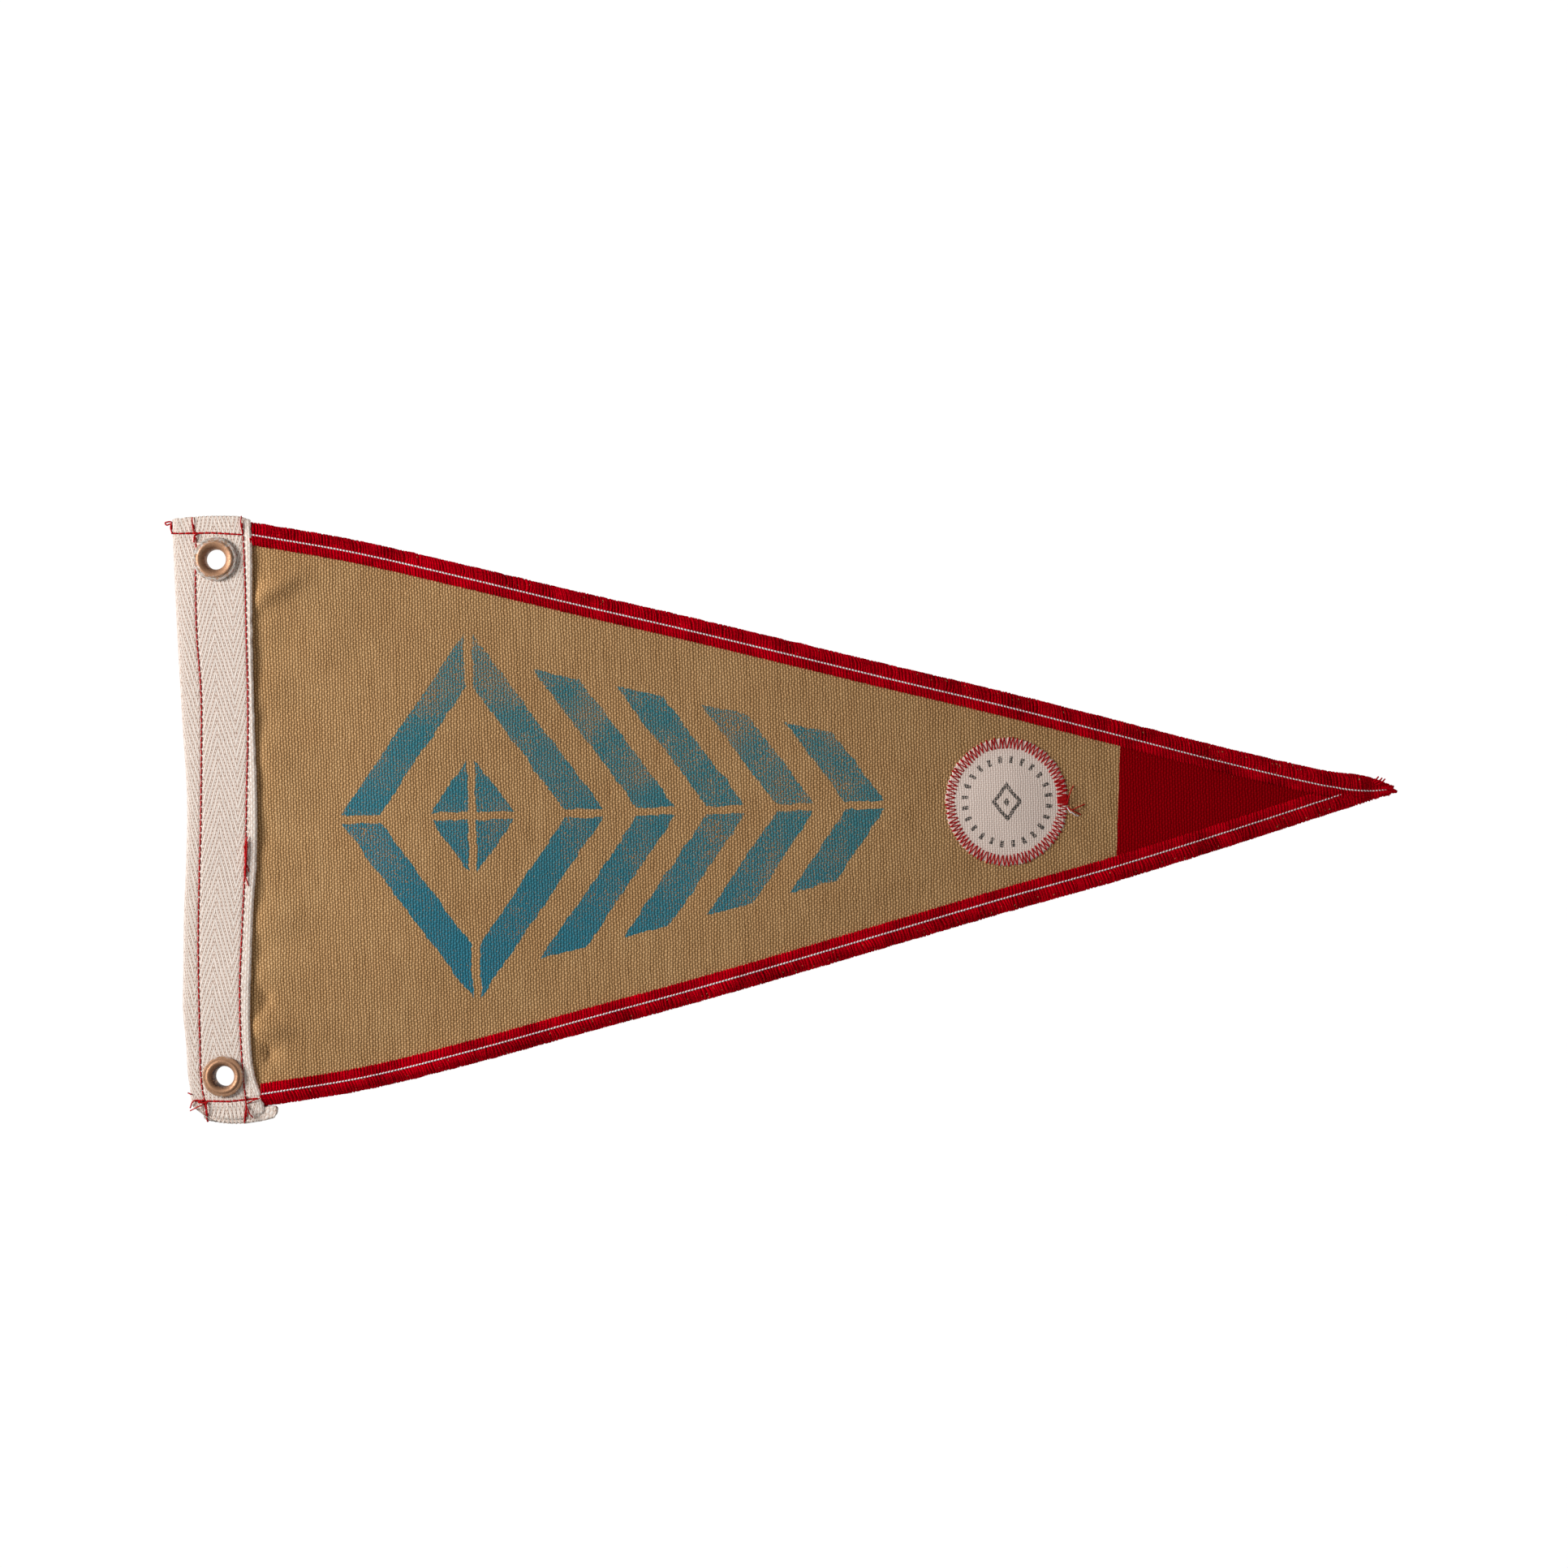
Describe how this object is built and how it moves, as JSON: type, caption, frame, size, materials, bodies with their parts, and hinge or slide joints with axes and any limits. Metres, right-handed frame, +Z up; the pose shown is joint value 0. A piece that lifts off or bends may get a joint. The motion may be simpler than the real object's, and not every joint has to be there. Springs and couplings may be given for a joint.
{
  "type": "pennant flag",
  "caption": "Triangular pennant of heavy canvas with overlocked long edges, a folded tape header, a brass grommet at each end of it and a round sewn-on cloth patch.",
  "frame": {"origin": "centre of the bounding box's bottom, on the surface the flag lies on", "axes": "+X along the fly, from the header to the tip; +Y up the hoist; +Z up, out of the printed face"},
  "size_m": [0.4555, 0.2268, 0.0063],
  "materials": {
    "canvas": "khaki cotton duck, plain weave, with a red printed tip",
    "edge_thread": "red overlock thread over the raw edge",
    "tape": "natural cotton herringbone tape",
    "metal": "aged copper-toned brass with a dull patina",
    "patch_cloth": "white plain-weave cotton"
  },
  "bodies": {
    "root": {"canvas_panel": "canvas", "overlock_edge_upper": "edge_thread", "overlock_edge_lower": "edge_thread", "header_tape": "tape", "grommet_upper": "metal", "washer_upper": "metal", "grommet_lower": "metal", "washer_lower": "metal", "patch": "patch_cloth"}
  },
  "joints": []
}
